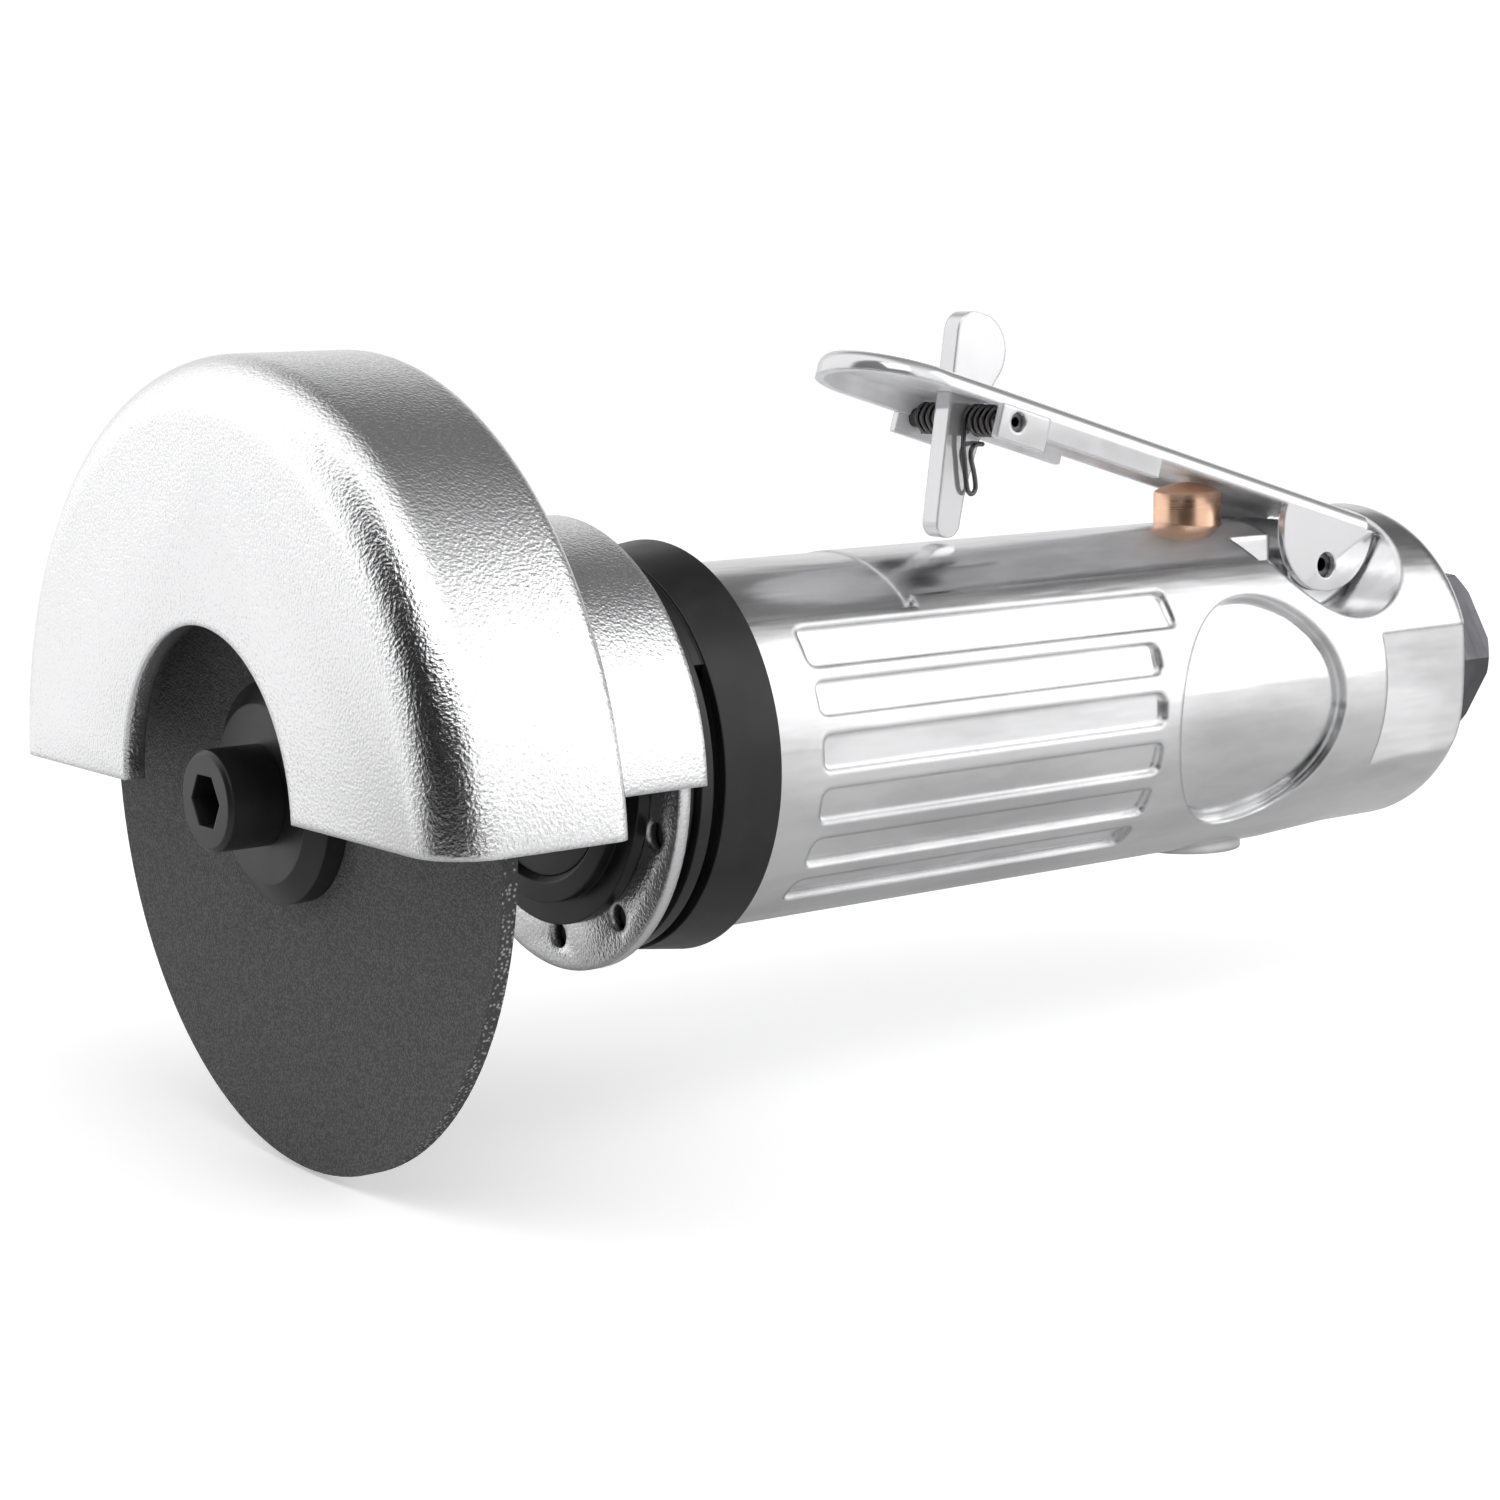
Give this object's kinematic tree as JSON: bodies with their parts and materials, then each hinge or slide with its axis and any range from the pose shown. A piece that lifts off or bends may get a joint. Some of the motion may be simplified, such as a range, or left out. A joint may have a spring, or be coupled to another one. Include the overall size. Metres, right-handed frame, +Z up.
{
  "type": "air cut-off grinder",
  "caption": "Straight air grinder with a thin cutting wheel under a half-round cast guard, a fluted metal body, a top lever with a lock-off catch and a hexagon air inlet.",
  "frame": {"origin": "Centre of the air inlet's mouth, on the tool's axis.", "axes": "+X points out of the air inlet along the tool's axis, the cutting wheel is at the -X end, +Z points up towards the lever, +Y completes a right-handed frame."},
  "size_m": [0.174, 0.0886, 0.0825],
  "materials": {
    "polished_aluminium": "polished",
    "cast_aluminium": "bead blasted",
    "black_steel": "satin black oxide",
    "dark_steel": "dark oxide",
    "chrome": "bright chrome",
    "copper": "turned",
    "brass": "turned",
    "abrasive": "gritty resin-bonded abrasive",
    "rubber": "matt",
    "bearing_steel": "ground",
    "motor_steel": "ground",
    "vane_fibre": "resin fibre",
    "felt": "felt",
    "spring_steel": "dark wire",
    "mesh_steel": "plain"
  },
  "bodies": {
    "tool": {"motor_housing": "polished_aluminium", "exhaust_collar": "black_steel", "muffler_ring": "felt", "front_cap": "black_steel", "nose_seal": "rubber", "bearing_spacer": "bearing_steel", "front_end_plate": "motor_steel", "cylinder_liner": "motor_steel", "rear_end_plate": "motor_steel", "locating_pin": "bearing_steel", "front_outer_race": "bearing_steel", "rear_outer_race": "bearing_steel", "guard_nut": "black_steel", "inlet_bushing": "dark_steel", "inlet_seal": "rubber", "inlet_screen": "mesh_steel", "lever_pin": "dark_steel", "valve_seat": "brass", "valve_spring": "spring_steel", "valve_plug": "dark_steel", "plug_seal": "rubber"},
    "guard": {"guard": "cast_aluminium"},
    "spindle": {"spindle": "dark_steel", "spindle_clip": "dark_steel", "rotor": "motor_steel", "rotor_vanes": "vane_fibre", "rear_flange": "black_steel", "cutting_wheel": "abrasive", "front_flange": "black_steel", "wheel_screw": "black_steel", "front_inner_race": "bearing_steel", "rear_inner_race": "bearing_steel"},
    "front_balls": {"front_ball_cage": "brass"},
    "rear_balls": {"rear_ball_cage": "brass"},
    "lever": {"throttle_lever": "chrome", "catch_pin": "dark_steel"},
    "catch": {"lock_off_catch": "chrome", "catch_spring": "spring_steel"},
    "plunger": {"throttle_plunger": "copper", "plunger_seal": "rubber", "valve_stem": "bearing_steel"}
  },
  "joints": [
    {"name": "spindle_spin", "type": "hinge", "parent": "tool", "child": "spindle", "pos_m": [-0.1, 0, 0], "axis": [1, 0, 0], "continuous": true},
    {"name": "front_ball_spin", "type": "hinge", "parent": "tool", "child": "front_balls", "pos_m": [-0.12, 0, 0], "axis": [1, 0, 0], "continuous": true},
    {"name": "rear_ball_spin", "type": "hinge", "parent": "tool", "child": "rear_balls", "pos_m": [-0.06, 0, 0], "axis": [1, 0, 0], "continuous": true},
    {"name": "guard_turn", "type": "hinge", "parent": "tool", "child": "guard", "pos_m": [-0.133, 0, 0], "axis": [1, 0, 0], "continuous": true},
    {"name": "lever_press", "type": "hinge", "parent": "tool", "child": "lever", "pos_m": [-0.0283, 0, 0.0133], "axis": [0, -1, 0], "range_deg": [0, 7], "stiffness_Nm_per_rad": 0.5, "springref_deg": -8.59},
    {"name": "plunger_slide", "type": "slide", "parent": "tool", "child": "plunger", "axis": [0, 0, -1], "range_m": [0, 0.0019], "deforming": ["valve_spring"]},
    {"name": "catch_swing", "type": "hinge", "parent": "lever", "child": "catch", "pos_m": [-0.07789, 0, 0.03247], "axis": [0, 1, 0], "range_deg": [0, 75]}
  ],
  "couplings": [
    {"joint": "front_ball_spin", "follows": "spindle_spin", "ratio": 0.3808},
    {"joint": "rear_ball_spin", "follows": "spindle_spin", "ratio": 0.3609},
    {"joint": "plunger_slide", "follows": "lever_press", "m_per_rad": 0.0145},
    {"joint": "catch_swing", "follows": "lever_press", "ratio": 10}
  ]
}
